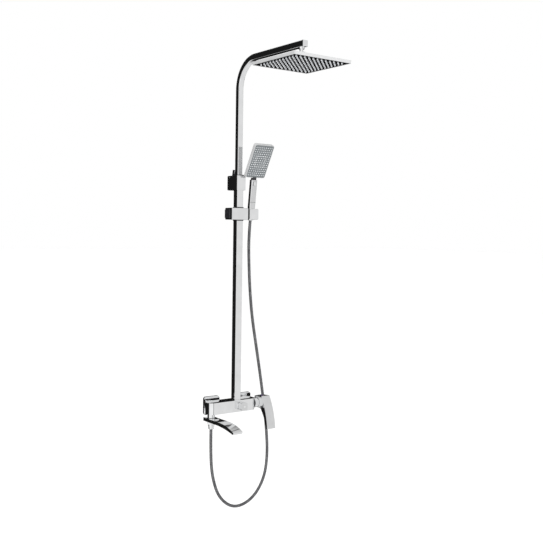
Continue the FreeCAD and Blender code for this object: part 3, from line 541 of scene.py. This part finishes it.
class SHOWER_OT_nut_grip(bpy.types.Operator):
    """Raise the grip ribs on the hose nut under the spout"""
    bl_idname = "shower.nut_grip"
    bl_label = "Hose nut grip"

    def execute(self, context):
        count = context.scene.shower_trim.nut_ribs
        low, high = (Vector(corner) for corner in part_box("outlet_hose_nut"))
        centre = middle_of("outlet_hose_nut")
        low_radius, top_radius = 10.5 * MM, (high.x - low.x) / 2
        bare = 2.5 * MM
        bottom, top = low.z + bare, high.z - bare
        rib_section = ((-0.7, -0.3), (0.7, -0.3), (0.35, 0.45), (-0.35, 0.45))
        shape = bmesh.new()
        for number in range(count):
            turn = Matrix.Rotation(2 * math.pi * number / count, 3, "Z")
            corners = []
            for height in (bottom, top):
                share = (height - low.z) / (high.z - low.z)
                radius = low_radius + (top_radius - low_radius) * share
                for across, out in rib_section:
                    place = turn @ Vector((radius + out * MM, across * MM, 0))
                    corners.append(shape.verts.new((centre.x + place.x, centre.y + place.y, height)))
            for side in range(4):
                after = (side + 1) % 4
                shape.faces.new((corners[side], corners[after], corners[4 + after], corners[4 + side]))
            shape.faces.new(corners[3::-1])
            shape.faces.new(corners[4:])
        bmesh.ops.recalc_face_normals(shape, faces=shape.faces)
        mesh = bpy.data.meshes.new("hose_nut_ribs")
        shape.to_mesh(mesh)
        shape.free()
        add_piece("hose_nut_ribs", mesh, "root", "chrome", "polished_chrome")
        return {"FINISHED"}


class SHOWER_OT_grip_trim(bpy.types.Operator):
    """Fit the seam ring and the button ring on the hand shower's grip"""
    bl_idname = "shower.grip_trim"
    bl_label = "Grip trim"

    def execute(self, context):
        turn = Matrix.Rotation(math.radians(GRIP_LEAN), 3, "X")
        low, high = (Vector(corner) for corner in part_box("handset_grip"))
        foot = Vector(((low.x + high.x) / 2, high.y - 10.6 * MM, low.z + 1.3 * MM))
        width, depth, corner, seam = 26, 20, 5, 24
        outlines = []
        for proud, height in ((-0.4, 0), (0.22, 0), (0.22, 0.9), (-0.4, 0.9)):
            outline = rounded_outline((width + 2 * proud) * MM, (depth + 2 * proud) * MM, corner * MM,
                                      (seam + height) * MM)
            outlines.append([foot + turn @ point for point in outline])
        mesh = loop_band("grip_seam_ring", outlines)
        add_piece("grip_seam_ring", mesh, "handset", "black_plastic", "moulded_black_acetal")
        facing = turn @ Vector((0, -1, 0))
        upward = turn @ Vector((0, 0, 1))
        centre = middle_of("mode_button") + facing * 0.05 * MM
        opening, rim = (12.6, 15.6), (13.6, 16.6)
        rings = []
        for (across, tall), proud in ((opening, -0.5), (opening, 0.3), (rim, 0.3), (rim, -0.5)):
            flat = rounded_outline(across * MM, tall * MM, 1.9 * MM, 0)
            rings.append([centre + Vector((1, 0, 0)) * point.x + upward * point.y + facing * proud * MM
                          for point in flat])
        mesh = loop_band("mode_button_ring", rings)
        add_piece("mode_button_ring", mesh, "handset", "black_plastic", "moulded_black_acetal")
        return {"FINISHED"}


class SHOWER_OT_spray_frame(bpy.types.Operator):
    """Raise the bright frame round the middle jets of the hand shower"""
    bl_idname = "shower.spray_frame"
    bl_label = "Spray frame"

    def execute(self, context):
        settings = context.scene.shower_trim
        turn = Matrix.Rotation(math.radians(SPRAY_LEAN), 3, "X")
        facing = turn @ Vector((0, -1, 0))
        upward = turn @ Vector((0, 0, 1))
        front = 1.05 * MM
        centre = middle_of("handset_face") + facing * front
        wide = 1.3
        outlines = []
        for inset, proud in ((0, -0.3), (0, 0.45), (wide, 0.45), (wide, -0.3)):
            side = settings.frame_side - 2 * inset * MM
            flat = rounded_outline(side, side, 4 * MM, 0)
            outlines.append([centre + Vector((1, 0, 0)) * point.x + upward * point.y + facing * proud * MM
                             for point in flat])
        mesh = loop_band("spray_frame", outlines)
        add_piece("spray_frame", mesh, "handset", "chrome", "polished_chrome")
        return {"FINISHED"}


class SHOWER_OT_temperature_mark(bpy.types.Operator):
    """Set the small hot and cold mark into the lever"""
    bl_idname = "shower.temperature_mark"
    bl_label = "Hot and cold mark"

    def execute(self, context):
        radius = context.scene.shower_trim.mark_radius
        low, high = (Vector(corner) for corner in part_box("lever_handle"))
        centre = Vector(((low.x + high.x) / 2, low.y + 68 * MM, high.z - 1.62 * MM))
        # The top of the lever falls 4 mm in 48 towards the wall.
        slope = Matrix.Rotation(math.atan2(-4, 48), 3, "X")
        rings = []
        for share, height in ((1.0, -0.9), (1.0, 0.12), (0.8, 0.28)):
            ring = []
            for number in range(32):
                angle = 2 * math.pi * number / 32
                reach = radius * share
                place = Vector((math.cos(angle) * reach, math.sin(angle) * reach, height * MM))
                ring.append(centre + slope @ place)
            rings.append(ring)
        mesh = loop_band("temperature_mark", rings, loops_closed=False)
        material, nodes, links, shader, place = new_material("red_and_blue_enamel")
        axes = nodes.new("ShaderNodeSeparateXYZ")
        links.new(place, axes.inputs["Vector"])
        half = remap(nodes, links, axes.outputs["X"], centre.x - 0.1 * MM, centre.x + 0.1 * MM, 0.0, 1.0)
        links.new(blend_colours(nodes, links, half, (0.02, 0.06, 0.45), (0.5, 0.02, 0.02)),
                  shader.inputs["Base Color"])
        speckle = noise(nodes, links, place, 900)
        links.new(remap(nodes, links, speckle, 0.3, 0.7, 0.12, 0.2), shader.inputs["Roughness"])
        mark = bpy.data.objects.new("temperature_mark", mesh)
        context.scene.collection.objects.link(mark)
        mesh.materials.append(material)
        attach(mark, "lever")
        return {"FINISHED"}


# ---------------------------------------------------------------- stage

def make_world(scene):
    """White surroundings, mirrored as a bright front with one dim upright strip and a dark back."""
    world = bpy.data.worlds.new("studio_surroundings")
    scene.world = world
    world.cycles.sampling_method = "NONE"
    world.use_nodes = True
    nodes, links = world.node_tree.nodes, world.node_tree.links
    nodes.clear()
    out = nodes.new("ShaderNodeOutputWorld")
    place = nodes.new("ShaderNodeTexCoord")
    axes = nodes.new("ShaderNodeSeparateXYZ")
    links.new(place.outputs["Generated"], axes.inputs["Vector"])
    back = remap(nodes, links, axes.outputs["Y"], 0.05, 0.30, 0.0, 1.0)
    level = remap(nodes, links, axes.outputs["Z"], 0.45, 0.80, 1.0, 0.0)
    under = remap(nodes, links, axes.outputs["Z"], -0.75, -0.45, 0.0, 1.0)
    dark = back
    for band in (level, under):
        product = nodes.new("ShaderNodeMath")
        product.operation = "MULTIPLY"
        links.new(dark, product.inputs[0])
        links.new(band, product.inputs[1])
        dark = product.outputs["Value"]
    seen = nodes.new("ShaderNodeBackground")
    seen.inputs["Color"].default_value = (1, 1, 1, 1)
    seen.inputs["Strength"].default_value = 1.0
    mirrored = nodes.new("ShaderNodeBackground")
    mirrored.inputs["Strength"].default_value = 1.0
    sweep = remap(nodes, links, axes.outputs["X"], -0.2, 0.9, 1.0, 0.74)
    softbox = nodes.new("ShaderNodeMath")
    softbox.operation = "MULTIPLY"
    links.new(sweep, softbox.inputs[0])
    links.new(remap(nodes, links, dark, 0.0, 1.0, 1.0, 0.012), softbox.inputs[1])
    slit = nodes.new("ShaderNodeMath")
    slit.operation = "MULTIPLY"
    links.new(remap(nodes, links, axes.outputs["X"], -0.03, 0.03, 0.0, 1.0), slit.inputs[0])
    links.new(remap(nodes, links, axes.outputs["X"], 0.17, 0.23, 1.0, 0.0), slit.inputs[1])
    shaded = nodes.new("ShaderNodeMath")
    shaded.operation = "MULTIPLY"
    links.new(softbox.outputs["Value"], shaded.inputs[0])
    links.new(remap(nodes, links, slit.outputs["Value"], 0.0, 1.0, 1.0, 0.12), shaded.inputs[1])
    links.new(shaded.outputs["Value"], mirrored.inputs["Color"])
    rays = nodes.new("ShaderNodeLightPath")
    mix = nodes.new("ShaderNodeMixShader")
    links.new(rays.outputs["Is Glossy Ray"], mix.inputs["Fac"])
    links.new(seen.outputs["Background"], mix.inputs[1])
    links.new(mirrored.outputs["Background"], mix.inputs[2])
    links.new(mix.outputs["Shader"], out.inputs["Surface"])


def add_light(scene, name, power, size, place, target):
    """A soft square light that polished pieces don't mirror."""
    light = bpy.data.lights.new(name, "AREA")
    light.energy = power
    light.size = size
    item = bpy.data.objects.new(name, light)
    item.location = place
    item.rotation_euler = (Vector(target) - Vector(place)).to_track_quat("-Z", "Y").to_euler()
    item.visible_glossy = False
    scene.collection.objects.link(item)


class SHOWER_OT_stage(bpy.types.Operator):
    """Set the camera, the pale floor and the soft lights"""
    bl_idname = "shower.stage"
    bl_label = "Stage"

    def execute(self, context):
        scene = context.scene
        settings = scene.shower_studio
        lens = bpy.data.cameras.new("column_view")
        lens.lens = settings.lens
        lens.sensor_width = 36
        lens.clip_end = 200
        camera = bpy.data.objects.new("column_view", lens)
        yaw, pitch, roll = (math.radians(angle) for angle in CAMERA_TURN)
        ahead = Vector((math.sin(yaw) * math.cos(pitch), math.cos(yaw) * math.cos(pitch), math.sin(pitch)))
        level = Vector((math.cos(yaw), -math.sin(yaw), 0))
        upright = level.cross(ahead)
        right = level * math.cos(roll) + upright * math.sin(roll)
        up = upright * math.cos(roll) - level * math.sin(roll)
        turn = Matrix((right, up, -ahead)).transposed().to_4x4()
        camera.matrix_world = Matrix.Translation(CAMERA_PLACE) @ turn
        scene.collection.objects.link(camera)
        scene.camera = camera

        ground = cad_box[0].z - settings.drop
        mesh = bpy.data.meshes.new("floor")
        reach = 60
        signs = ((-1, -1), (1, -1), (1, 1), (-1, 1))
        corners = [(x * reach, y * reach, ground) for x, y in signs]
        mesh.from_pydata(corners, [], [(0, 1, 2, 3)])
        floor = bpy.data.objects.new("floor", mesh)
        scene.collection.objects.link(floor)
        material, nodes, links, shader, place = new_material("pale_floor")
        mottle = noise(nodes, links, place, 3.0)
        links.new(blend_colours(nodes, links, mottle, (0.93, 0.93, 0.93), (0.96, 0.96, 0.96)),
                  shader.inputs["Base Color"])
        shader.inputs["Roughness"].default_value = 0.9
        shader.inputs["Emission Color"].default_value = (1, 1, 1, 1)
        shader.inputs["Emission Strength"].default_value = settings.floor_glow
        mesh.materials.append(material)
        floor.visible_glossy = False
        middle = (0, -0.1, 0.4)
        add_light(scene, "key_light", settings.key, 2.2, (-1.6, -2.6, 2.4), middle)
        add_light(scene, "fill_light", settings.fill, 2.0, (2.6, -1.8, 0.9), middle)
        make_world(scene)
        scene.view_settings.view_transform = "Standard"
        return {"FINISHED"}


# ---------------------------------------------------------------- panel and registration

STEPS = (
    SHOWER_OT_finishes, SHOWER_OT_stage, SHOWER_OT_hose, SHOWER_OT_threads, SHOWER_OT_spring,
    SHOWER_OT_nut_grip, SHOWER_OT_grip_trim, SHOWER_OT_spray_frame, SHOWER_OT_temperature_mark,
)
SETTINGS = {
    "shower_finish": FinishSettings, "shower_hose": HoseSettings,
    "shower_trim": TrimSettings, "shower_studio": StudioSettings,
}


class SHOWER_PT_panel(bpy.types.Panel):
    """Lists the steps that dress the shower column"""
    bl_idname = "SHOWER_PT_panel"
    bl_label = "Shower column"
    bl_space_type = "VIEW_3D"
    bl_region_type = "UI"
    bl_category = "Shower"

    def draw(self, context):
        for step in STEPS:
            self.layout.operator(step.bl_idname)


def register():
    for group in SETTINGS.values():
        bpy.utils.register_class(group)
    for step in STEPS:
        bpy.utils.register_class(step)
    bpy.utils.register_class(SHOWER_PT_panel)
    for name, group in SETTINGS.items():
        setattr(bpy.types.Scene, name, bpy.props.PointerProperty(type=group))


def unregister():
    for name in SETTINGS:
        delattr(bpy.types.Scene, name)
    bpy.utils.unregister_class(SHOWER_PT_panel)
    for step in reversed(STEPS):
        bpy.utils.unregister_class(step)
    for group in reversed(list(SETTINGS.values())):
        bpy.utils.unregister_class(group)


def main():
    register()
    bpy.ops.shower.finishes()
    bpy.ops.shower.stage()
    bpy.ops.shower.hose()
    bpy.ops.shower.threads()
    bpy.ops.shower.spring()
    bpy.ops.shower.nut_grip()
    bpy.ops.shower.grip_trim()
    bpy.ops.shower.spray_frame()
    bpy.ops.shower.temperature_mark()


if __name__ == "__main__":
    main()
